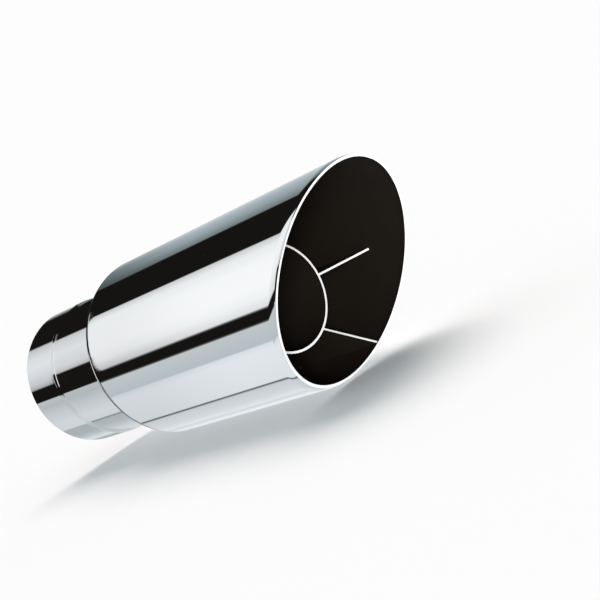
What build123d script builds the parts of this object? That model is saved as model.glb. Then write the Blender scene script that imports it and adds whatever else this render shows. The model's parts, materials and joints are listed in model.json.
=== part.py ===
from build123d import *
from math import cos, radians, sin, tan
import os

# Exhaust tip with a slash-cut mouth. A polished outer shell is spun down at the back onto an inlet
# sleeve, and four swept fins hold a short inner tube in the middle of its mouth.
# Millimetres. The origin is the centre of the sleeve's open rear rim. +X runs forward along the
# tube to the mouth, and +Z is up as fitted, with the long side of the slash cut on top.

# Outer shell: a tube, cut on a slant at the mouth, with its lip curled in a little
shell_diameter = 88.9
shell_wall = 1.2
mouth_distance = 217.0
slash_angle = 32.5
lip_length = 4.5
lip_drop = 0.6

# Shoulder: where the shell is spun down to a neck that closes round the sleeve
barrel_start = 79.6
shoulder_round = 7.0
shoulder_angle = 50.0
neck_round = 2.9
neck_length = 3.5
neck_clearance = 0.1

# Inlet sleeve: slips over the tail pipe, up to a step where it narrows
pipe_diameter = 69.85
pipe_clearance = 0.075
sleeve_wall = 1.2
socket_depth = 26.3
stop_step = 0.9
stop_taper = 0.8
sleeve_reach = 4.0
sleeve_rim_ease = 0.35

# Seam weld between the neck and the sleeve, ground back below the neck's corner
seam_leg = 1.8
seam_grind = 0.2

# Inner tube
core_diameter = 50.8
core_wall = 1.2
core_length = 76.2
core_setback = 42.6
core_rim_ease = 0.25

# Fins: two crossed pairs of flat plates, with their front edges swept forward to the shell
fin_thickness = 1.2
fin_root_length = 48.0
fin_sweep = 45.0
fin_pair_angle = 120.0
fin_half_spread = 30.0

# Tack welds in the corners beside each fin
tack_leg = 1.5
tack_crown = 1.2
tack_slope = 45.0
tack_length = 9.0
tack_setback = 3.0

# Worked out from the sizes above
shell_radius = shell_diameter / 2
shell_bore = shell_radius - shell_wall
slope = tan(radians(slash_angle))
socket_radius = pipe_diameter / 2 + pipe_clearance
stop_radius = socket_radius - stop_step
sleeve_front_radius = stop_radius + sleeve_wall
neck_radius = sleeve_front_radius + neck_clearance + shell_wall
shoulder_turn = radians(shoulder_angle)
flank_drop = shell_radius - neck_radius - (shoulder_round + neck_round) * (1 - cos(shoulder_turn))
flank_run = flank_drop / tan(shoulder_turn)
neck_start = barrel_start - flank_run - (shoulder_round + neck_round) * sin(shoulder_turn)
neck_end = neck_start - neck_length
core_radius = core_diameter / 2
core_front = mouth_distance - core_setback
fin_rear = core_front - fin_root_length
fin_tip_front = core_front + (shell_bore - core_radius) * tan(radians(fin_sweep))
fin_angles = [
    fin_pair_angle + half_turn + side * fin_half_spread
    for half_turn in (0, 180)
    for side in (-1, 1)
]

# How far a blank reaches past the surface that trims it
trim = 2.0

# Stations of the curled lip, from where it leaves the barrel to the rim
lip_stations = 3


def turned(outline):
    """Turn a closed outline, drawn with x along the tube and y outwards, about the tube's axis."""
    return revolve(make_face(Plane.XZ * outline), axis=Axis.X)


def bar(radius, start, end):
    """A solid cylinder along the tube's axis."""
    return turned(Polyline((start, 0), (end, 0), (end, radius), (start, radius), close=True))


def slant(setback):
    """The plane of the mouth, moved back along the tube."""
    angle = radians(slash_angle)
    return Plane(
        origin=(mouth_distance - setback, 0, 0),
        x_dir=(sin(angle), 0, cos(angle)),
        z_dir=(cos(angle), 0, -sin(angle)),
    )


def spun_form(inset):
    """The solid inside one skin of the spun shell: inset 0 is the outside, a wall the inside."""
    front = mouth_distance + shell_radius * slope + trim
    shoulder_centre = (barrel_start, shell_radius - shoulder_round)
    throat_centre = (neck_start, neck_radius + neck_round)
    shoulder = CenterArc(shoulder_centre, shoulder_round - inset, 90, shoulder_angle)
    throat = CenterArc(throat_centre, neck_round + inset, -90, shoulder_angle)
    barrel = Polyline((neck_end, 0), (front, 0), (front, shell_radius - inset), shoulder @ 0)
    flank = Line(shoulder @ 1, throat @ 1)
    neck = Polyline(throat @ 0, (neck_end, neck_radius - inset), (neck_end, 0))
    return turned(Curve() + [barrel, shoulder, flank, throat, neck])


def lip_form(inset):
    """The solid inside one skin of the lip: slanted ovals, each a little smaller than the last."""
    ovals = []
    for station in range(lip_stations + 1):
        share = station / lip_stations
        radius = shell_radius - lip_drop * share**2 - inset
        oval = Ellipse(radius / cos(radians(slash_angle)), radius)
        ovals.append(slant(lip_length * (1 - share)) * oval)
    return loft(ovals)


def outer_shell():
    """Spun tube with a necked shoulder and a slash-cut mouth whose lip curls in."""
    wall = spun_form(0) - spun_form(shell_wall)
    barrel = split(wall, bisect_by=slant(lip_length), keep=Keep.BOTTOM)
    lip = lip_form(0) - lip_form(shell_wall)
    return barrel + lip


def sleeve_skin(wall):
    """One skin of the inlet sleeve from the rear rim forward, wall outside its bore."""
    return [
        (0, socket_radius + wall),
        (socket_depth, socket_radius + wall),
        (socket_depth + stop_taper, stop_radius + wall),
        (neck_start + sleeve_reach, stop_radius + wall),
    ]


def inlet_sleeve():
    """Tube expanded at the rear to slip over the pipe, with the step that stops it."""
    outside = sleeve_skin(sleeve_wall)
    inside = sleeve_skin(0)
    sleeve = turned(Polyline(*outside, *reversed(inside), close=True))
    rims = sleeve.edges().filter_by(GeomType.CIRCLE).group_by(Axis.X)[0]
    return chamfer(rims, sleeve_rim_ease)


def seam_weld():
    """Polished bead that closes the neck onto the sleeve."""
    foot = (neck_end, sleeve_front_radius)
    top = (neck_end, neck_radius - seam_grind)
    toe = (neck_end - seam_leg, sleeve_front_radius)
    return turned(Polyline(foot, top, toe, close=True))


def inner_tube():
    """Straight tube in the mouth, with its front rim eased."""
    rear = core_front - core_length
    tube = bar(core_radius, rear, core_front) - bar(core_radius - core_wall, rear, core_front)
    rims = tube.edges().filter_by(GeomType.CIRCLE).group_by(Axis.X)[-1]
    return chamfer(rims, core_rim_ease)


def fin_blank():
    """A plate standing up from the axis, long enough to be trimmed by both tubes."""
    low = core_radius - trim
    high = shell_bore + trim
    lean = tan(radians(fin_sweep))
    front_low = core_front - trim * lean
    front_high = fin_tip_front + trim * lean
    outline = Polyline((fin_rear, low), (front_low, low), (front_high, high), (fin_rear, high), close=True)
    return extrude(make_face(Plane.XZ * outline), fin_thickness / 2, both=True)


def fin():
    """One fin, its edges hollowed and rounded to seat on the inner tube and the shell's wall."""
    return fin_blank() & bar(shell_bore, fin_rear, fin_tip_front + trim) - bar(
        core_radius, fin_rear, core_front
    )


def tack(start, side, height):
    """A bead with sloped edges and ends, on one side of the upright fin at a wall's height."""
    middle = (start + tack_length / 2, side * fin_thickness / 2, height)
    fin_side = Plane(origin=middle, x_dir=(1, 0, 0), z_dir=(0, side, 0))
    return extrude(fin_side * Rectangle(tack_length, 2 * tack_leg), tack_crown, taper=tack_slope)


def fin_tacks():
    """Two tack welds for the upright fin: one on the inner tube at the front, and one on the
    shell's wall at the rear, on the fin's other side."""
    front = tack(core_front - tack_setback - tack_length, -1, core_radius)
    rear = tack(fin_rear + tack_setback, 1, shell_bore)
    core = bar(core_radius, fin_rear, core_front)
    bore = bar(shell_bore, fin_rear, core_front)
    return [front - core, rear & bore]


def about_axis(shape, angle):
    """Turn a shape from straight up towards +Y by the angle."""
    return Rot(-angle, 0, 0) * shape


parts = {
    "outer_shell": outer_shell(),
    "inlet_sleeve": inlet_sleeve(),
    "seam_weld": seam_weld(),
    "inner_tube": inner_tube(),
}
for number, angle in enumerate(fin_angles, start=1):
    parts[f"fin_{number}"] = about_axis(fin(), angle)
parts["tack_welds"] = Compound(
    children=[about_axis(bead, angle) for angle in fin_angles for bead in fin_tacks()]
)

os.makedirs("parts", exist_ok=True)
for name, shape in parts.items():
    export_step(shape, f"parts/{name}.step")
    box = shape.bounding_box()
    print(name, [round(v, 2) for v in (*box.min, *box.max)], "volume", round(shape.volume, 1))
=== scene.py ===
import json
from math import cos, pi, radians, sin, tan

import bmesh
import bpy
from mathutils import Euler, Matrix, Vector


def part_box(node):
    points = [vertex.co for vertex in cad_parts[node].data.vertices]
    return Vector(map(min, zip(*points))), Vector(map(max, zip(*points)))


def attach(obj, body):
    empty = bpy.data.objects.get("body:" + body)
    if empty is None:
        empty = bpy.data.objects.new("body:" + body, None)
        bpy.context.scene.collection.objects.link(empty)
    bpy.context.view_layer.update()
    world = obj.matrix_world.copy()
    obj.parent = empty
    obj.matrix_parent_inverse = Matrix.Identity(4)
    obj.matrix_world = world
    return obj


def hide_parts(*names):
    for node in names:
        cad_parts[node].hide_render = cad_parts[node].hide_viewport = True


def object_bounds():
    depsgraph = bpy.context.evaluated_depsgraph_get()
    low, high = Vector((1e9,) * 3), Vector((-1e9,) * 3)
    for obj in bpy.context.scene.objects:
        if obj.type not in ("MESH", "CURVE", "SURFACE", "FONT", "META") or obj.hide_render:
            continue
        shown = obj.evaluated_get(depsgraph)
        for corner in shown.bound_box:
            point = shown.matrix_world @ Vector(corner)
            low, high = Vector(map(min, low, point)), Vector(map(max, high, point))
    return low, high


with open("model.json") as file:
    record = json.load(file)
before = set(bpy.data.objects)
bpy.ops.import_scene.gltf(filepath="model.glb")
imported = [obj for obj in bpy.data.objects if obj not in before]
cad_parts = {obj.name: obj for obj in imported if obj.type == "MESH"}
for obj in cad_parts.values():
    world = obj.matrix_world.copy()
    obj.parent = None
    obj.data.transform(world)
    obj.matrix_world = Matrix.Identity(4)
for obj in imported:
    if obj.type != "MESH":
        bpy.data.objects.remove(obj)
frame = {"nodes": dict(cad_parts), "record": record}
cad_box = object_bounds()

bl_info = {
    "name": "Exhaust Tip",
    "version": (1, 0, 0),
    "blender": (4, 5, 0),
    "location": "3D View > Sidebar > Exhaust Tip",
    "description": "Builds a slash-cut, mirror-polished exhaust tip and its studio",
    "category": "Add Mesh",
}

# Metres, in the CAD's frame: the origin is the centre of the inlet's open rear rim, +X runs
# forward to the mouth, and +Z is up, with the long side of the slash cut on top
SHELL_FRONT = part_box("outer_shell")[1]
CORE_REAR, CORE_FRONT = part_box("inner_tube")
FIN_REAR, FIN_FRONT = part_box("fin_1")
INLET = frame["record"]["mounts"][0]["dims"]

# How close two vertices merge, how close one lies on a cutting plane, and less than any size here
MERGE, ON_PLANE, HAIR = 1e-7, 1e-8, 1e-5
# Distance from a bend to the first vertex of the straight stretch beside it
SUPPORT = 0.0003
# How squarely a face looks along a cut to be its ground flat, and to be its flat or first bevel
FLAT, NEARLY_FLAT = 0.97, 0.9

# The softboxes hang in tubes of this radius round the X axis, and places along them are in radii
TENT_RADIUS = 2.0
# How far a tube's ends lean along X per metre of Y, as the product's reflections in them do
TENT_SLANT = 0.0575
# Black cloth between the softboxes
FLAG = "161513"

# Where the camera stands, how far it is turned about X, Y and Z in degrees, and its lens in mm
CAMERA_PLACE = (0.61482, -0.37124, 0.05658)
CAMERA_TURN = (83.167, 27.633, 46.080)
CAMERA_LENS, CAMERA_SENSOR = 78.73, 36


def linear(hex_colour):
    """The linear colour of an sRGB hex value, with full alpha."""
    channels = [int(hex_colour[i : i + 2], 16) / 255 for i in (0, 2, 4)]
    return [c / 12.92 if c <= 0.04045 else ((c + 0.055) / 1.055) ** 2.4 for c in channels] + [1.0]


def length(name, default, description):
    """A size that a user can change, in metres."""
    return bpy.props.FloatProperty(
        name=name, default=default, description=description, unit="LENGTH", min=0, precision=5
    )


def angle(name, degrees, description):
    """An angle that a user can change."""
    return bpy.props.FloatProperty(
        name=name, default=radians(degrees), description=description, unit="ROTATION"
    )


def colour(name, hex_colour, description):
    """A colour that a user can change."""
    return bpy.props.FloatVectorProperty(
        name=name, default=linear(hex_colour), description=description,
        subtype="COLOR", size=4, min=0, max=1,
    )


class ExhaustTipSizes(bpy.types.PropertyGroup):
    """The sizes of the tip's pieces"""

    segments: bpy.props.IntProperty(
        name="Segments", default=320, min=32, description="Steps round each turned piece"
    )
    shell_radius: length("Shell radius", SHELL_FRONT.y, "Outside radius of the outer shell")
    wall: length("Wall", 0.0012, "Thickness of the sheet that every tube and fin is made of")
    mouth: length("Mouth", 0.217, "Distance from the inlet's rim to the middle of the mouth")
    slash: angle("Slash", 32.5, "Slant of the cut at the mouth")
    lip_length: length("Lip length", 0.0045, "How far back from the rim the lip starts to curl in")
    lip_drop: length("Lip drop", 0.0006, "How far the rim is curled in")
    barrel_start: length("Barrel start", 0.0796, "Where the straight part of the shell starts")
    shoulder_round: length("Shoulder round", 0.007, "Radius of the spun shoulder")
    shoulder_angle: angle("Shoulder angle", 50, "Slope of the flank between shoulder and neck")
    neck_round: length("Neck round", 0.0029, "Radius where the flank meets the neck")
    neck_length: length("Neck length", 0.0035, "Length of the shell's neck")
    neck_clearance: length("Neck clearance", 0.0001, "Gap between the neck and the sleeve")
    socket_radius: length("Socket radius", INLET["r_mm"] / 1000, "Bore that slips over the pipe")
    socket_depth: length("Socket depth", INLET["length_mm"] / 1000, "Depth of the bore to its stop")
    stop_step: length("Stop step", 0.0009, "How much the sleeve narrows at its stop")
    stop_taper: length("Stop taper", 0.0008, "Length of the step")
    sleeve_reach: length("Sleeve reach", 0.004, "How far the sleeve runs into the shell")
    rim_ease: length("Rim ease", 0.00035, "Rounding of the inlet's rim")
    weld_leg: length("Weld leg", 0.0018, "Leg of the seam weld along the sleeve")
    weld_grind: length("Weld grind", 0.0002, "How far the weld is ground below the neck's corner")
    core_radius: length("Inner tube radius", CORE_FRONT.y, "Outside radius of the inner tube")
    core_rear: length("Inner tube rear", CORE_REAR.x, "Where the inner tube starts")
    core_front: length("Inner tube front", CORE_FRONT.x, "Where the inner tube ends")
    fin_rear: length("Fin rear", FIN_REAR.x, "Where the fins start")
    fin_front: length("Fin front", FIN_FRONT.x, "Where the fins' swept edges reach the shell")
    tack_length: length("Tack length", 0.009, "Length of a tack weld")
    tack_radius: length("Tack radius", 0.0014, "Radius of a tack weld")
    tack_setback: length("Tack setback", 0.003, "Distance from a fin's end to its tack weld")
    edge_round: length("Edge round", 0.00014, "Rounding left on a cut and ground edge")


class ExhaustTipFinish(bpy.types.PropertyGroup):
    """The colours of the tip's finishes and of its studio"""

    polished: colour("Polished", "F6F7F8", "Mirror-polished stainless steel")
    drawn: colour("Drawn", "B9BBBC", "Stainless tube as drawn, inside the inlet")
    ground: colour("Ground", "FBFBFA", "Freshly ground cut edge")
    weld: colour("Weld", "F1EEE9", "Weld bead after polishing")
    weld_tint: colour("Weld tint", "D9D2C8", "Straw tint left in the weld's puddles")
    coat: colour("Coat", "1C1814", "Satin black heat-resistant coating")
    coat_cloud: colour("Coat cloud", "201B17", "Coating where the spray dried a little paler")
    backdrop: colour("Backdrop", "FDFDFD", "Floor and background")


def add_node(tree, kind, values=None, links=None, **settings):
    """Add a node with its settings, socket values and incoming links."""
    made = tree.nodes.new(kind)
    for name, value in settings.items():
        setattr(made, name, value)
    for socket, value in (values or {}).items():
        made.inputs[socket].default_value = value
    for socket, source in (links or {}).items():
        tree.links.new(source, made.inputs[socket])
    return made


def new_material(name):
    """An empty node material and its tree."""
    made = bpy.data.materials.new(name)
    made.use_nodes = True
    made.node_tree.nodes.clear()
    return made, made.node_tree


def stretched(tree, per_metre):
    """Object coordinates scaled to so many pattern cells a metre along X, Y and Z."""
    place = add_node(tree, "ShaderNodeTexCoord")
    return add_node(
        tree, "ShaderNodeMapping", {"Scale": per_metre}, {"Vector": place.outputs["Object"]}
    ).outputs["Vector"]


def mirror_polished_stainless(finish):
    """Stainless steel, buffed on a lathe: a mirror, with a breath of haze in rings round it."""
    made, tree = new_material("mirror_polished_stainless")
    rings = add_node(
        tree, "ShaderNodeTexNoise", {"Scale": 1.0, "Detail": 3.0, "Roughness": 0.55},
        {"Vector": stretched(tree, (900, 12, 12))},
    )
    haze = add_node(
        tree, "ShaderNodeMapRange",
        {"From Min": 0.3, "From Max": 0.75, "To Min": 0.008, "To Max": 0.03},
        {"Value": rings.outputs["Fac"]},
    )
    # Buffing lines are a few micrometres apart on the real tube, drawn here at 0.3 mm
    lines = add_node(
        tree, "ShaderNodeTexNoise", {"Scale": 1.0, "Detail": 2.0},
        {"Vector": stretched(tree, (3300, 25, 25))},
    )
    relief = add_node(
        tree, "ShaderNodeBump", {"Strength": 0.02, "Distance": 0.00002},
        {"Height": lines.outputs["Fac"]},
    )
    shader = add_node(
        tree, "ShaderNodeBsdfPrincipled", {"Base Color": finish.polished, "Metallic": 1.0},
        {"Roughness": haze.outputs["Result"], "Normal": relief.outputs["Normal"]},
    )
    add_node(tree, "ShaderNodeOutputMaterial", links={"Surface": shader.outputs["BSDF"]})
    return made


def drawn_stainless(finish):
    """Stainless tube as drawn, never polished: dull, with fine scores along the tube."""
    made, tree = new_material("drawn_stainless")
    # Die scores lie some 0.4 mm apart round the bore
    scores = add_node(
        tree, "ShaderNodeTexNoise", {"Scale": 1.0, "Detail": 4.0, "Roughness": 0.6},
        {"Vector": stretched(tree, (30, 2500, 2500))},
    )
    haze = add_node(
        tree, "ShaderNodeMapRange",
        {"From Min": 0.25, "From Max": 0.75, "To Min": 0.24, "To Max": 0.44},
        {"Value": scores.outputs["Fac"]},
    )
    relief = add_node(
        tree, "ShaderNodeBump", {"Strength": 0.25, "Distance": 0.00004},
        {"Height": scores.outputs["Fac"]},
    )
    shader = add_node(
        tree, "ShaderNodeBsdfPrincipled", {"Base Color": finish.drawn, "Metallic": 1.0},
        {"Roughness": haze.outputs["Result"], "Normal": relief.outputs["Normal"]},
    )
    add_node(tree, "ShaderNodeOutputMaterial", links={"Surface": shader.outputs["BSDF"]})
    return made


def ground_steel(finish):
    """Cut steel edge dressed on a coarse belt: frosted, so that it shines white from every side."""
    made, tree = new_material("ground_steel_edge")
    # 240 grit leaves scratches about 0.06 mm apart, drawn here at 0.2 mm
    scratches = add_node(
        tree, "ShaderNodeTexNoise", {"Scale": 1.0, "Detail": 3.0, "Distortion": 0.2},
        {"Vector": stretched(tree, (5000, 900, 5000))},
    )
    haze = add_node(
        tree, "ShaderNodeMapRange",
        {"From Min": 0.3, "From Max": 0.7, "To Min": 0.4, "To Max": 0.55},
        {"Value": scratches.outputs["Fac"]},
    )
    relief = add_node(
        tree, "ShaderNodeBump", {"Strength": 0.15, "Distance": 0.00003},
        {"Height": scratches.outputs["Fac"]},
    )
    # The frosted scratches scatter light as a pale matt surface does, so Metallic is low
    shader = add_node(
        tree, "ShaderNodeBsdfPrincipled", {"Base Color": finish.ground, "Metallic": 0.15},
        {"Roughness": haze.outputs["Result"], "Normal": relief.outputs["Normal"]},
    )
    add_node(tree, "ShaderNodeOutputMaterial", links={"Surface": shader.outputs["BSDF"]})
    return made


def polished_weld_metal(finish):
    """Weld bead ground and buffed: nearly a mirror, with the puddle's ripples still faint in it."""
    made, tree = new_material("polished_weld_metal")
    place = stretched(tree, (1500, 700, 700))
    puddles = add_node(
        tree, "ShaderNodeTexNoise", {"Scale": 1.0, "Detail": 2.0}, {"Vector": place}
    )
    tint = add_node(
        tree, "ShaderNodeMix", {"A": finish.weld, "B": finish.weld_tint},
        {"Factor": puddles.outputs["Fac"]}, data_type="RGBA",
    )
    haze = add_node(
        tree, "ShaderNodeMapRange",
        {"From Min": 0.3, "From Max": 0.7, "To Min": 0.08, "To Max": 0.2},
        {"Value": puddles.outputs["Fac"]},
    )
    relief = add_node(
        tree, "ShaderNodeBump", {"Strength": 0.3, "Distance": 0.00008},
        {"Height": puddles.outputs["Fac"]},
    )
    shader = add_node(
        tree, "ShaderNodeBsdfPrincipled", {"Metallic": 1.0},
        {"Base Color": tint.outputs["Result"], "Roughness": haze.outputs["Result"],
         "Normal": relief.outputs["Normal"]},
    )
    add_node(tree, "ShaderNodeOutputMaterial", links={"Surface": shader.outputs["BSDF"]})
    return made


def high_heat_coating(finish):
    """Sprayed silicone-ceramic black, baked on: soot black, satin, with the spray's fine grain."""
    made, tree = new_material("satin_black_high_heat_coating")
    # Dried spray droplets are 0.2 to 0.5 mm across
    grain = add_node(
        tree, "ShaderNodeTexNoise", {"Scale": 1.0, "Detail": 3.0, "Roughness": 0.6},
        {"Vector": stretched(tree, (2600, 2600, 2600))},
    )
    clouds = add_node(
        tree, "ShaderNodeTexNoise", {"Scale": 1.0, "Detail": 2.0},
        {"Vector": stretched(tree, (60, 60, 60))},
    )
    shade = add_node(
        tree, "ShaderNodeMix", {"A": finish.coat, "B": finish.coat_cloud},
        {"Factor": clouds.outputs["Fac"]}, data_type="RGBA",
    )
    haze = add_node(
        tree, "ShaderNodeMapRange",
        {"From Min": 0.3, "From Max": 0.7, "To Min": 0.58, "To Max": 0.72},
        {"Value": grain.outputs["Fac"]},
    )
    relief = add_node(
        tree, "ShaderNodeBump", {"Strength": 0.25, "Distance": 0.00005},
        {"Height": grain.outputs["Fac"]},
    )
    shader = add_node(
        tree, "ShaderNodeBsdfPrincipled", {"Metallic": 0.0, "Specular IOR Level": 0.12},
        {"Base Color": shade.outputs["Result"], "Roughness": haze.outputs["Result"],
         "Normal": relief.outputs["Normal"]},
    )
    add_node(tree, "ShaderNodeOutputMaterial", links={"Surface": shader.outputs["BSDF"]})
    return made


def finish_of(name):
    """The finish's material, made the first time that a piece asks for it."""
    maker = {
        "mirror_polished_stainless": mirror_polished_stainless,
        "drawn_stainless": drawn_stainless,
        "ground_steel_edge": ground_steel,
        "polished_weld_metal": polished_weld_metal,
        "satin_black_high_heat_coating": high_heat_coating,
    }[name]
    return bpy.data.materials.get(name) or maker(bpy.context.scene.exhaust_tip_finish)


def line_to(bm, end, x, r, support=SUPPORT):
    """Draw the outline straight on from its end to a point. A long stretch gets a vertex close to
    each of its ends, so that the bends beside it don't tilt its shading."""
    start, goal = end.co.copy(), Vector((x, 0, r))
    run = goal - start
    stops = [goal]
    if run.length > 4 * support:
        step = run.normalized() * support
        stops = [start + step, goal - step, goal]
    for stop in stops:
        last = end
        end = bmesh.ops.extrude_vert_indiv(bm, verts=[last])["verts"][0]
        bmesh.ops.translate(bm, verts=[end], vec=stop - last.co)
    return end


def bend(bm, end, x, r, turn, steps=14):
    """Draw the outline on round a centre. A positive turn carries a point above the centre
    towards +X, and one below it towards -X."""
    swept = bmesh.ops.spin(
        bm, geom=[end], cent=(x, 0, r), axis=(0, 1, 0), dvec=(0, 0, 0), angle=turn, steps=steps,
        use_merge=False, use_duplicate=False,
    )
    return next(v for v in swept["geom_last"] if isinstance(v, bmesh.types.BMVert))


def turn_outline(bm, segments):
    """Close the outline and turn it about the tube's axis into a solid ring."""
    bmesh.ops.remove_doubles(bm, verts=bm.verts, dist=MERGE)
    bmesh.ops.spin(
        bm, geom=bm.verts[:] + bm.edges[:], cent=(0, 0, 0), axis=(1, 0, 0), dvec=(0, 0, 0),
        angle=2 * pi, steps=segments, use_merge=True, use_duplicate=False,
    )
    bmesh.ops.remove_doubles(bm, verts=bm.verts, dist=MERGE)
    bmesh.ops.recalc_face_normals(bm, faces=bm.faces)


def round_edges(bm, edges, offset, segments=3):
    """Round sharp edges."""
    bmesh.ops.bevel(
        bm, geom=edges, offset=offset, offset_type="OFFSET", segments=segments, profile=0.5,
        affect="EDGES", clamp_overlap=True, material=-1,
    )


def sharp_edges(bm, over=60):
    """The edges at which the surface turns by more than so many degrees."""
    return [e for e in bm.edges if e.calc_face_angle(0) > radians(over)]


def outward(face):
    """How far the face looks away from the tube's axis, from -1 to 1."""
    middle = face.calc_center_median()
    return face.normal.dot(Vector((0, middle.y, middle.z)).normalized())


def new_object(bm, name, materials):
    """An object in the scene, made from a finished mesh and its materials."""
    mesh = bpy.data.meshes.new(name)
    bm.to_mesh(mesh)
    bm.free()
    for made in materials:
        mesh.materials.append(made)
    added = bpy.data.objects.new(name, mesh)
    bpy.context.scene.collection.objects.link(added)
    return added


def finish_piece(bm, name, finishes, chooser, node, sharp_over=40):
    """Turn the mesh into a finished piece that stands for its CAD node and rides on the part.
    The chooser gives each face the number of its finish, and the shading breaks at an edge that
    turns by more than so many degrees."""
    bm.normal_update()
    for face in bm.faces:
        face.smooth = True
        face.material_index = chooser(face)
    for edge in sharp_edges(bm, sharp_over):
        edge.smooth = False
    loose = [e for e in bm.edges if not e.is_manifold]
    if loose:
        raise RuntimeError(f"{name} has {len(loose)} open edges")
    piece = new_object(bm, name, [finish_of(finish) for finish in finishes])
    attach(piece, "root")
    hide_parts(node)


def neck_radius(sizes):
    """Outside radius of the shell's neck, which closes round the sleeve."""
    return sizes.socket_radius - sizes.stop_step + 2 * sizes.wall + sizes.neck_clearance


def neck_start(sizes):
    """Where the neck meets the bend into the flank."""
    a = sizes.shoulder_angle
    bends = sizes.shoulder_round + sizes.neck_round
    drop = sizes.shell_radius - neck_radius(sizes) - bends * (1 - cos(a))
    return sizes.barrel_start - drop / tan(a) - bends * sin(a)


class EXHAUST_TIP_OT_outer_shell(bpy.types.Operator):
    """Spin the outer shell, cut its mouth on the slant and curl its lip in"""

    bl_idname = "exhaust_tip.outer_shell"
    bl_label = "Outer Shell"

    def execute(self, context):
        s = context.scene.exhaust_tip_sizes
        a = s.shoulder_angle
        slope = tan(s.slash)
        neck, start = neck_radius(s), neck_start(s)
        # How far the tube runs past the cut that trims it
        spare = 0.002
        front = s.mouth + s.shell_radius * slope + spare
        throat = start, neck + s.neck_round
        shoulder = s.barrel_start, s.shell_radius - s.shoulder_round

        bm = bmesh.new()
        end = bm.verts.new((start - s.neck_length, 0, neck))
        end = line_to(bm, end, start, neck)
        end = bend(bm, end, *throat, -a)
        outer = s.shoulder_round
        end = line_to(bm, end, shoulder[0] - outer * sin(a), shoulder[1] + outer * cos(a))
        end = bend(bm, end, *shoulder, a)
        end = line_to(bm, end, front, s.shell_radius)
        end = line_to(bm, end, front, s.shell_radius - s.wall)
        end = line_to(bm, end, s.barrel_start, s.shell_radius - s.wall)
        end = bend(bm, end, *shoulder, -a)
        inner = s.neck_round + s.wall
        end = line_to(bm, end, throat[0] + inner * sin(a), throat[1] - inner * cos(a))
        end = bend(bm, end, *throat, a)
        end = line_to(bm, end, start - s.neck_length, neck - s.wall)
        line_to(bm, end, start - s.neck_length, neck)
        turn_outline(bm, s.segments)

        # Cut back behind the lip, then grow the lip forward in slanted ovals
        stations = 12
        cut = s.mouth - s.lip_length - SUPPORT
        slant = Vector((cos(s.slash), 0, -sin(s.slash)))
        bmesh.ops.bisect_plane(
            bm, geom=bm.verts[:] + bm.edges[:] + bm.faces[:], dist=ON_PLANE,
            plane_co=(cut, 0, 0), plane_no=slant, clear_outer=True,
        )
        middle = s.shell_radius - s.wall / 2
        open_edges = [e for e in bm.edges if e.is_boundary]
        rims = []
        for outside, radius in ((True, s.shell_radius), (False, s.shell_radius - s.wall)):
            ring = [
                e for e in open_edges
                if (Vector((0, *e.verts[0].co.yz)).length > middle) == outside
            ]
            reached, place = radius, 0.0
            for station in range(stations + 1):
                share = station / stations
                target = radius - s.lip_drop * share**2
                forward = SUPPORT + s.lip_length * share - place
                shrink = target / reached
                swept = bmesh.ops.extrude_edge_only(bm, edges=ring)["geom"]
                verts = [g for g in swept if isinstance(g, bmesh.types.BMVert)]
                ring = [g for g in swept if isinstance(g, bmesh.types.BMEdge)]
                # Each oval stays in its own slanted plane while it shrinks towards the axis
                oval = Matrix.Diagonal((1, shrink, shrink, 1))
                oval[0][2] = slope * (shrink - 1)
                bmesh.ops.transform(bm, matrix=oval, verts=verts)
                bmesh.ops.translate(bm, verts=verts, vec=(forward, 0, 0))
                ring = [e for e in ring if all(v in set(verts) for v in e.verts)]
                reached, place = target, SUPPORT + s.lip_length * share
            rims += ring
        bmesh.ops.bridge_loops(bm, edges=rims)
        bmesh.ops.recalc_face_normals(bm, faces=bm.faces)
        bm.normal_update()
        round_edges(bm, sharp_edges(bm), s.edge_round)
        rim_rear = s.mouth - s.shell_radius * slope - spare

        def chooser(face):
            if face.normal.dot(slant) > FLAT and face.calc_center_median().x > rim_rear:
                return 2
            # The coat covers what looks inwards, with most of the bevel beside the rim's flat
            return 1 if outward(face) < -0.35 else 0

        finish_piece(
            bm, "polished_outer_shell",
            ["mirror_polished_stainless", "satin_black_high_heat_coating", "ground_steel_edge"],
            chooser, "outer_shell",
        )
        return {"FINISHED"}


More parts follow.
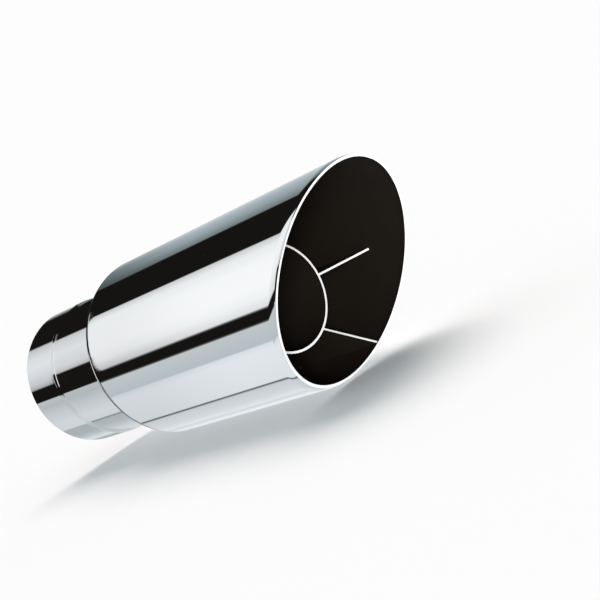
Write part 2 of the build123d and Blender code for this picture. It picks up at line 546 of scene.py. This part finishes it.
class EXHAUST_TIP_OT_inlet_sleeve(bpy.types.Operator):
    """Turn the inlet sleeve, with the step that stops the pipe and an eased rear rim"""

    bl_idname = "exhaust_tip.inlet_sleeve"
    bl_label = "Inlet Sleeve"

    def execute(self, context):
        s = context.scene.exhaust_tip_sizes
        bore, narrow = s.socket_radius, s.socket_radius - s.stop_step
        front = neck_start(s) + s.sleeve_reach
        bm = bmesh.new()
        end = bm.verts.new((0, 0, bore + s.wall))
        for x, r in (
            (s.socket_depth, bore + s.wall),
            (s.socket_depth + s.stop_taper, narrow + s.wall),
            (front, narrow + s.wall),
            (front, narrow),
            (s.socket_depth + s.stop_taper, narrow),
            (s.socket_depth, bore),
            (0, bore),
            (0, bore + s.wall),
        ):
            end = line_to(bm, end, x, r)
        turn_outline(bm, s.segments)
        rear_rim = [e for e in sharp_edges(bm) if max(v.co.x for v in e.verts) < HAIR]
        round_edges(bm, rear_rim, s.rim_ease, 5)
        front_rim = [e for e in sharp_edges(bm) if min(v.co.x for v in e.verts) > front - HAIR]
        round_edges(bm, front_rim, s.edge_round)
        # The step's bends, and the front rim's bevel once more
        blunt = [
            e for e in sharp_edges(bm, 20)
            if e.calc_face_angle(0) < radians(60) and e.verts[0].co.x > s.socket_depth - HAIR
        ]
        round_edges(bm, blunt, s.edge_round * 1.5, 4)
        finish_piece(
            bm, "polished_inlet_sleeve", ["mirror_polished_stainless", "drawn_stainless"],
            # The polish runs over the rear rim, nearly to the middle of its inner rounding
            lambda face: 1 if outward(face) < -0.6 else 0,
            "inlet_sleeve",
        )
        return {"FINISHED"}


class EXHAUST_TIP_OT_seam_weld(bpy.types.Operator):
    """Turn the polished bead that closes the neck onto the sleeve"""

    bl_idname = "exhaust_tip.seam_weld"
    bl_label = "Seam Weld"

    def execute(self, context):
        s = context.scene.exhaust_tip_sizes
        x = neck_start(s) - s.neck_length
        foot = neck_radius(s) - s.wall - s.neck_clearance
        top = neck_radius(s) - s.weld_grind
        bm = bmesh.new()
        end = bm.verts.new((x, 0, foot))
        end = line_to(bm, end, x, top)
        end = line_to(bm, end, x - s.weld_leg, foot)
        line_to(bm, end, x, foot)
        turn_outline(bm, s.segments)
        crest = [e for e in sharp_edges(bm, 50) if e.verts[0].co.yz.length > foot + HAIR]
        round_edges(bm, crest, s.edge_round)
        finish_piece(
            bm, "polished_seam_weld", ["polished_weld_metal"], lambda face: 0,
            "seam_weld",
        )
        return {"FINISHED"}


class EXHAUST_TIP_OT_inner_tube(bpy.types.Operator):
    """Turn the black inner tube, with its cut front rim left bright"""

    bl_idname = "exhaust_tip.inner_tube"
    bl_label = "Inner Tube"

    def execute(self, context):
        s = context.scene.exhaust_tip_sizes
        bm = bmesh.new()
        end = bm.verts.new((s.core_rear, 0, s.core_radius))
        for x, r in (
            (s.core_front, s.core_radius),
            (s.core_front, s.core_radius - s.wall),
            (s.core_rear, s.core_radius - s.wall),
            (s.core_rear, s.core_radius),
        ):
            end = line_to(bm, end, x, r)
        turn_outline(bm, s.segments)
        round_edges(bm, sharp_edges(bm), s.edge_round)
        finish_piece(
            bm, "coated_inner_tube", ["satin_black_high_heat_coating", "ground_steel_edge"],
            lambda face: 1 if face.normal.x > NEARLY_FLAT else 0,
            "inner_tube",
        )
        return {"FINISHED"}


def fin_angles():
    """How far each CAD fin is turned from straight up towards +Y."""
    found = {}
    for name in sorted(frame["nodes"]):
        if name.startswith("fin_"):
            low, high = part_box(name)
            middle = (low + high) / 2
            found[name] = Vector((middle.z, middle.y)).angle_signed(Vector((1, 0)))
    return found


class EXHAUST_TIP_OT_fins(bpy.types.Operator):
    """Build the four flat fins, with their swept front edges left bright"""

    bl_idname = "exhaust_tip.fins"
    bl_label = "Fins"

    def execute(self, context):
        s = context.scene.exhaust_tip_sizes
        # A fin's flat ends sink this far into both tubes
        seat = 0.00002
        root, tip = s.core_radius - seat, s.shell_radius - s.wall + seat
        sweep = (s.fin_front - s.core_front) / (s.shell_radius - s.wall - s.core_radius)
        swept = Vector((1, 0, -sweep)).normalized()
        for name, turn in fin_angles().items():
            bm = bmesh.new()
            corner = bm.verts.new((s.fin_rear, -s.wall / 2, root))
            edge = bmesh.ops.extrude_vert_indiv(bm, verts=[corner])
            bmesh.ops.translate(bm, verts=edge["verts"], vec=(s.core_front - s.fin_rear, 0, 0))
            side = bmesh.ops.extrude_edge_only(bm, edges=edge["edges"])["geom"]
            top = [g for g in side if isinstance(g, bmesh.types.BMVert)]
            bmesh.ops.translate(bm, verts=top, vec=(0, 0, tip - root))
            front = [v for v in top if v.co.x > s.core_front - HAIR]
            bmesh.ops.translate(bm, verts=front, vec=((tip - root) * sweep, 0, 0))
            plate = bmesh.ops.extrude_face_region(bm, geom=bm.faces[:])["geom"]
            far = [g for g in plate if isinstance(g, bmesh.types.BMVert)]
            bmesh.ops.translate(bm, verts=far, vec=(0, s.wall, 0))
            bmesh.ops.recalc_face_normals(bm, faces=bm.faces)
            upright = [
                e for e in bm.edges
                if abs(e.verts[0].co.y - e.verts[1].co.y) < HAIR
                and abs(e.verts[0].co.z - e.verts[1].co.z) > HAIR
            ]
            round_edges(bm, upright, s.edge_round, 2)
            bm.normal_update()
            for face in bm.faces:
                face.material_index = 1 if face.normal.dot(swept) > FLAT else 0
            bmesh.ops.rotate(
                bm, verts=bm.verts, cent=(0, 0, 0), matrix=Matrix.Rotation(-turn, 3, "X")
            )
            finish_piece(
                bm, f"coated_{name}", ["satin_black_high_heat_coating", "ground_steel_edge"],
                lambda face: face.material_index, name, sharp_over=50,
            )
        return {"FINISHED"}


class EXHAUST_TIP_OT_tack_welds(bpy.types.Operator):
    """Lay the rippled tack welds that hold the fins"""

    bl_idname = "exhaust_tip.tack_welds"
    bl_label = "Tack Welds"

    def execute(self, context):
        s = context.scene.exhaust_tip_sizes
        ripples, steps, ripple_depth = 7, 6, 0.13
        # How far a bead sinks into the wall that it lies on
        sink = 0.0004
        bm = bmesh.new()
        for turn in fin_angles().values():
            for side, height, start, up in (
                (-1, s.core_radius, s.core_front - s.tack_setback - s.tack_length, 1),
                (1, s.shell_radius - s.wall, s.fin_rear + s.tack_setback, -1),
            ):
                bead = bmesh.new()
                end = bead.verts.new((0, 0, 0))
                count = ripples * steps
                # Steps this short get no vertices beside their ends
                support = s.tack_length
                for i in range(1, count):
                    along = i / count
                    crown = (1 - (2 * along - 1) ** 4) ** 0.5
                    scallop = 1 - ripple_depth * abs(cos(pi * i / steps)) ** 3
                    radius = s.tack_radius * crown * scallop
                    end = line_to(bead, end, s.tack_length * along, radius, support)
                line_to(bead, end, s.tack_length, 0, support)
                turn_outline(bead, 24)
                # The bead lies in a corner: what would sink through the fin or the wall is cut off
                for co, no in (((0, 0, 0), (0, -side, 0)), ((0, 0, -up * sink), (0, 0, -up))):
                    bmesh.ops.bisect_plane(
                        bead, geom=bead.verts[:] + bead.edges[:] + bead.faces[:], dist=ON_PLANE,
                        plane_co=co, plane_no=no, clear_outer=True,
                    )
                    hole = [e for e in bead.edges if e.is_boundary]
                    bmesh.ops.holes_fill(bead, edges=hole, sides=0)
                bmesh.ops.translate(
                    bead, verts=bead.verts, vec=(start, side * s.wall / 2, height)
                )
                bmesh.ops.rotate(
                    bead, verts=bead.verts, cent=(0, 0, 0), matrix=Matrix.Rotation(-turn, 3, "X")
                )
                bmesh.ops.recalc_face_normals(bead, faces=bead.faces)
                held = bpy.data.meshes.new("tack_bead")
                bead.to_mesh(held)
                bead.free()
                bm.from_mesh(held)
                bpy.data.meshes.remove(held)
        finish_piece(
            bm, "coated_tack_welds", ["satin_black_high_heat_coating"], lambda face: 0,
            "tack_welds",
        )
        return {"FINISHED"}


def light_tent(name, start, end, bands, fades=(0, 1)):
    """A tube of softboxes and black flags round the product, seen only in its reflections. Each
    band has its place in degrees up from the camera's side, its grey, and how much of it is left
    at the rear end of the fade."""
    start, end, fade_rear, fade_front = (TENT_RADIUS * place for place in (start, end, *fades))
    made, tree = new_material(name)
    place = add_node(tree, "ShaderNodeTexCoord")
    split = add_node(tree, "ShaderNodeSeparateXYZ", links={"Vector": place.outputs["Object"]})
    near = add_node(
        tree, "ShaderNodeMath", {1: -1.0}, {0: split.outputs["Y"]}, operation="MULTIPLY"
    )
    turn = add_node(
        tree, "ShaderNodeMath", links={0: split.outputs["Z"], 1: near.outputs[0]},
        operation="ARCTAN2",
    )
    share = add_node(
        tree, "ShaderNodeMapRange", {"From Min": -pi, "From Max": pi}, {"Value": turn.outputs[0]}
    )
    ramp = add_node(tree, "ShaderNodeValToRGB", links={"Fac": share.outputs["Result"]})
    stops = ramp.color_ramp.elements
    while len(stops) > 1:
        stops.remove(stops[-1])
    for number, (degrees, hex_colour, *left) in enumerate(bands):
        position = (degrees + 180) / 360
        stop = stops[0] if number == 0 else stops.new(position)
        stop.position, stop.color = position, linear(hex_colour)
        stop.alpha = left[0] if left else 1.0
    # The alpha of a stop is the share of its light that is left at the rear
    level = add_node(
        tree, "ShaderNodeMapRange", {"From Min": fade_rear, "From Max": fade_front, "To Max": 1.0},
        {"Value": split.outputs["X"], "To Min": ramp.outputs["Alpha"]},
        interpolation_type="SMOOTHSTEP",
    )
    glow = add_node(
        tree, "ShaderNodeEmission",
        links={"Color": ramp.outputs["Color"], "Strength": level.outputs["Result"]},
    )
    add_node(tree, "ShaderNodeOutputMaterial", links={"Surface": glow.outputs["Emission"]})
    made.cycles.emission_sampling = "NONE"
    bm = bmesh.new()
    along_x = Matrix.Rotation(pi / 2, 4, "Y")
    bmesh.ops.create_cone(
        bm, cap_ends=False, segments=180, radius1=TENT_RADIUS, radius2=TENT_RADIUS,
        depth=end - start, matrix=Matrix.Translation(((start + end) / 2, 0, 0)) @ along_x,
    )
    slant = Matrix.Identity(4)
    slant[0][1] = TENT_SLANT
    bmesh.ops.transform(bm, matrix=slant, verts=bm.verts)
    tent = new_object(bm, name, [made])
    tent.visible_camera = tent.visible_diffuse = tent.visible_shadow = False
    tent.visible_transmission = tent.visible_volume_scatter = False


def corner_cut(place, rear, run):
    """How much of a softbox's rounded corner is cut off at a place along the tubes: all of it at
    the box's rear end, and none from a run further forward."""
    share = min(max((place - rear) / run, 0), 1)
    return 1 - (1 - (1 - share) ** 2) ** 0.5


def hang_softboxes():
    """Hang a tube of softboxes for each stretch of the X axis that some part of the product
    mirrors. The barrel shows the side and front ones, the sleeve the collar ones, and the bends,
    the step and the rims the rest."""
    mouth_end, side_end, corner_start, shell_end = -0.3, -0.85, -1.46, -1.5004
    collar_middle, collar_end = -1.637, -1.77
    light_tent("softboxes_open_end", mouth_end, 3, [
        (-180, "FFFFFF"), (-125, "FFFFFF"), (-105, "C8CED1"), (-80, "C0C6C9"), (-62, "B8BEC1"),
        (-50, "D2D7DA"), (-20, "BCC2C5"), (-7, "B8BEC1"), (-6, FLAG), (23.5, FLAG),
        (25, "D2D4D6"), (44, "DCDFE1"), (65, "D4D6D8"), (67, FLAG), (118, FLAG),
        (119, "6C7374"), (134, "828D92"), (154, "9DA7AB"), (170, "FFFFFF"),
    ])
    light_tent("softboxes_side", side_end, mouth_end, [
        (-180, "DCE2E4"), (-160, "C6CDD1"), (-146, "E6EBED"), (-129, "D2D8DB"), (-92, "CFD5D7"),
        (-89, "CDD3D5"), (-88, "767D80"), (-85.4, "767D80"), (-84.4, "E2E7E9"), (-44, "E8EDF0"),
        (-37, "E1E6E9"), (-35.5, "BAC3C7"), (-9.2, "C6CCCE"), (-8.3, FLAG), (5.4, FLAG),
        (6.4, "E4E5E6"), (30, "F6F8F9"), (54, "FAFBFC"), (75.5, "EEF0F1"), (76.5, FLAG),
        (118, FLAG), (119, "6C7374"), (134, "828D92"), (154, "9DA7AB"), (178, "DCE2E4"),
    ])
    front = [
        (-180, "DCE2E4", 0.9), (-160, "C8CFD2"), (-147, "F2F6F8", 0.93), (-136, "E8EEF0"),
        (-129, "D4DADD"), (-123, "E6ECEE"), (-110, "D9DEE0"), (-89, "CDD3D5"),
        (-88, "666D70", 0.95), (-85.4, "666D70", 0.95), (-84.4, "E2E7E9", 0.86),
        (-40, "E8EDF0", 0.86), (-32.6, "E1E6E9", 0.86), (-31, "BAC3C7"), (-9.2, "C6CCCE"),
        (-8.3, FLAG), (5.4, FLAG), (6.4, "E4E5E6", 0.7), (18, "F8FAFA", 0.85),
        (30, "FFFFFF", 0.88), (54, "FDFEFF", 0.9), (68, "F0F3F3"), (76, "D2D4D5"), (77, FLAG),
        (118, FLAG), (119, "757D7F", 0.4), (134, "98A6AB", 0.38), (148, "ABB6BB", 0.38),
        (166, "C8CFD2", 0.6), (178, "E0E6E9", 0.7),
    ]
    fades = -1.48, -1.165
    light_tent("softboxes_front", corner_start, side_end, front, fades)
    # Towards its rear end the big softbox's corners are rounded, slice by slice
    slices = 8
    for number in range(slices):
        rear, middle, fore = (
            shell_end + (corner_start - shell_end) * (number + k) / slices for k in (0, 0.5, 1)
        )
        low, high = corner_cut(middle, -1.487, 0.026), corner_cut(middle, -1.499, 0.022)
        moves = {
            5.4: 20 * low, 6.4: 20 * low, 18: 10 * low,
            68: -3 * high, 76: -8 * high, 77: -8 * high,
        }
        light_tent(
            f"softboxes_front_corner_{number + 1}", rear, fore,
            [(degrees + moves.get(degrees, 0), *rest) for degrees, *rest in front], fades,
        )
    light_tent("softboxes_collar_front", collar_middle, shell_end, [
        (-180, "D0D6D9"), (-134, "D8DEE0"), (-116, "CAD0D3"), (-97, "B6BDC0"), (-82, "AFB7BA"),
        (-80.5, "8A9093"), (-78.5, "8A9093"), (-77, "D2D8DA"), (-60, "D6DCDE"), (-34, "C5CBCE"),
        (-20, "B6BDC0"), (-9.6, "BCC2C4"), (-8.8, FLAG), (26, FLAG), (27.5, "BFC0C1"),
        (36, "D6D9DB"), (60, "E3E6E8"), (80, "D4D6D8"), (85, "C8CACB"), (86.5, FLAG),
    ])
    light_tent("softboxes_collar_rear", collar_end, collar_middle, [
        (-180, "A4ADB1"), (-144, "A4ADB1"), (-136, "BFC6C9"), (-128, "E0E7EA"),
        (-109, "BCC6C9"), (-97, "AEB7BA"), (-77.5, "AEB6B9"), (-75, "D6DBDD"), (-56, "D6DBDE"),
        (-34, "C8CED1"), (-20, "B8BEC1"), (-9.6, "C2C7C9"), (-8.8, FLAG), (13.3, FLAG),
        (14.5, "ABACAD"), (22, "CBCED0"), (35, "DADDE0"), (50, "E6E9EB"), (66, "E1E4E6"),
        (80, "CED0D2"), (85, "C4C6C7"), (86.5, FLAG), (146, FLAG), (153, "6D6F70"),
        (165, "B8BBBC"), (177, "E4E6E8"),
    ])
    light_tent("flags_rear", -8, collar_end, [
        (-180, "5A5F61"), (-165, "3A3D3F"), (-150, FLAG), (-140, "7A7F82"), (-30, "7A7F82"),
        (-10, FLAG), (150, FLAG), (175, "5A5F61"),
    ])


def lay_floor(backdrop):
    """Lay a pale matt floor a hair below the product, hidden from its reflections."""
    made, tree = new_material("pale_floor")
    matt = add_node(tree, "ShaderNodeBsdfDiffuse", {"Color": backdrop})
    add_node(tree, "ShaderNodeOutputMaterial", links={"Surface": matt.outputs["BSDF"]})
    level = cad_box[0].z - 0.0002
    bm = bmesh.new()
    bmesh.ops.create_grid(
        bm, x_segments=1, y_segments=1, size=40, matrix=Matrix.Translation((0, 0, level))
    )
    floor = new_object(bm, "floor", [made])
    floor.visible_glossy = False


def light_world(backdrop):
    """Light the scene with a dim fill, and show the camera and the mirrors a plain backdrop."""
    world = bpy.data.worlds.new("white_studio")
    world.use_nodes = True
    tree = world.node_tree
    tree.nodes.clear()
    path = add_node(tree, "ShaderNodeLightPath")
    shown = path.outputs["Is Camera Ray"]
    for ray in ("Is Glossy Ray", "Is Transmission Ray"):
        shown = add_node(
            tree, "ShaderNodeMath", links={0: shown, 1: path.outputs[ray]}, operation="MAXIMUM"
        ).outputs[0]
    # The fill is as much cooler as the key is warmer: the floor stays white, its shadow blue-grey
    fill = add_node(
        tree, "ShaderNodeBackground", {"Color": linear("F0FBFF"), "Strength": 0.45}
    )
    white = add_node(tree, "ShaderNodeBackground", {"Color": backdrop, "Strength": 1.0})
    both = add_node(
        tree, "ShaderNodeMixShader",
        links={0: shown, 1: fill.outputs["Background"], 2: white.outputs["Background"]},
    )
    add_node(tree, "ShaderNodeOutputWorld", links={"Surface": both.outputs["Shader"]})
    bpy.context.scene.world = world


def place_camera():
    """Stand the camera on the near side, a little above the product's axis."""
    camera = bpy.data.cameras.new("camera")
    camera.lens, camera.sensor_width = CAMERA_LENS, CAMERA_SENSOR
    camera.clip_end = 100
    seen = bpy.data.objects.new("camera", camera)
    seen.location = CAMERA_PLACE
    seen.rotation_euler = Euler([radians(degrees) for degrees in CAMERA_TURN])
    bpy.context.scene.collection.objects.link(seen)
    bpy.context.scene.camera = seen
    return seen


def hang_lamps(camera):
    """Hang a wide warm key overhead and a narrower fill beside the camera. A strength of 1 shows
    a white surface that faces the lamp as white, so the key is raised by its tilt to light the
    level floor as strongly as its number says."""
    key_on_floor, key_tilt = 0.489, radians(25)
    overhead = Euler((radians(-22), radians(-12), 0))
    for name, strength, hex_colour, spread, turn in (
        ("soft_key", key_on_floor / cos(key_tilt), "FFF5F1", 44, overhead),
        ("soft_fill", 1.12, "FFFFFF", 12, camera.rotation_euler),
    ):
        lamp = bpy.data.lights.new(name, "SUN")
        lamp.energy = strength * pi
        lamp.color = linear(hex_colour)[:3]
        lamp.angle = radians(spread)
        light = bpy.data.objects.new(name, lamp)
        light.rotation_euler = turn
        light.visible_glossy = False
        bpy.context.scene.collection.objects.link(light)


class EXHAUST_TIP_OT_studio(bpy.types.Operator):
    """Set up the pale floor, the softboxes, the soft light and the camera"""

    bl_idname = "exhaust_tip.studio"
    bl_label = "Studio"

    def execute(self, context):
        backdrop = context.scene.exhaust_tip_finish.backdrop
        lay_floor(backdrop)
        hang_softboxes()
        light_world(backdrop)
        hang_lamps(place_camera())
        context.scene.view_settings.view_transform = "Standard"
        return {"FINISHED"}


class EXHAUST_TIP_PT_panel(bpy.types.Panel):
    """Sizes, colours and build buttons"""

    bl_idname = "EXHAUST_TIP_PT_panel"
    bl_label = "Exhaust Tip"
    bl_space_type = "VIEW_3D"
    bl_region_type = "UI"
    bl_category = "Exhaust Tip"

    def draw(self, context):
        layout = self.layout
        for group in (context.scene.exhaust_tip_sizes, context.scene.exhaust_tip_finish):
            column = layout.column(align=True)
            for name in group.bl_rna.properties.keys():
                if name not in ("rna_type", "name"):
                    column.prop(group, name)
        for operator in OPERATORS:
            layout.operator(operator.bl_idname)


OPERATORS = (
    EXHAUST_TIP_OT_outer_shell,
    EXHAUST_TIP_OT_inlet_sleeve,
    EXHAUST_TIP_OT_seam_weld,
    EXHAUST_TIP_OT_inner_tube,
    EXHAUST_TIP_OT_fins,
    EXHAUST_TIP_OT_tack_welds,
    EXHAUST_TIP_OT_studio,
)
CLASSES = (ExhaustTipSizes, ExhaustTipFinish, *OPERATORS, EXHAUST_TIP_PT_panel)


def register():
    for cls in CLASSES:
        bpy.utils.register_class(cls)
    bpy.types.Scene.exhaust_tip_sizes = bpy.props.PointerProperty(type=ExhaustTipSizes)
    bpy.types.Scene.exhaust_tip_finish = bpy.props.PointerProperty(type=ExhaustTipFinish)


def unregister():
    del bpy.types.Scene.exhaust_tip_finish
    del bpy.types.Scene.exhaust_tip_sizes
    for cls in reversed(CLASSES):
        bpy.utils.unregister_class(cls)


def main():
    register()
    bpy.ops.exhaust_tip.outer_shell()
    bpy.ops.exhaust_tip.inlet_sleeve()
    bpy.ops.exhaust_tip.seam_weld()
    bpy.ops.exhaust_tip.inner_tube()
    bpy.ops.exhaust_tip.fins()
    bpy.ops.exhaust_tip.tack_welds()
    bpy.ops.exhaust_tip.studio()


if __name__ == "__main__":
    main()
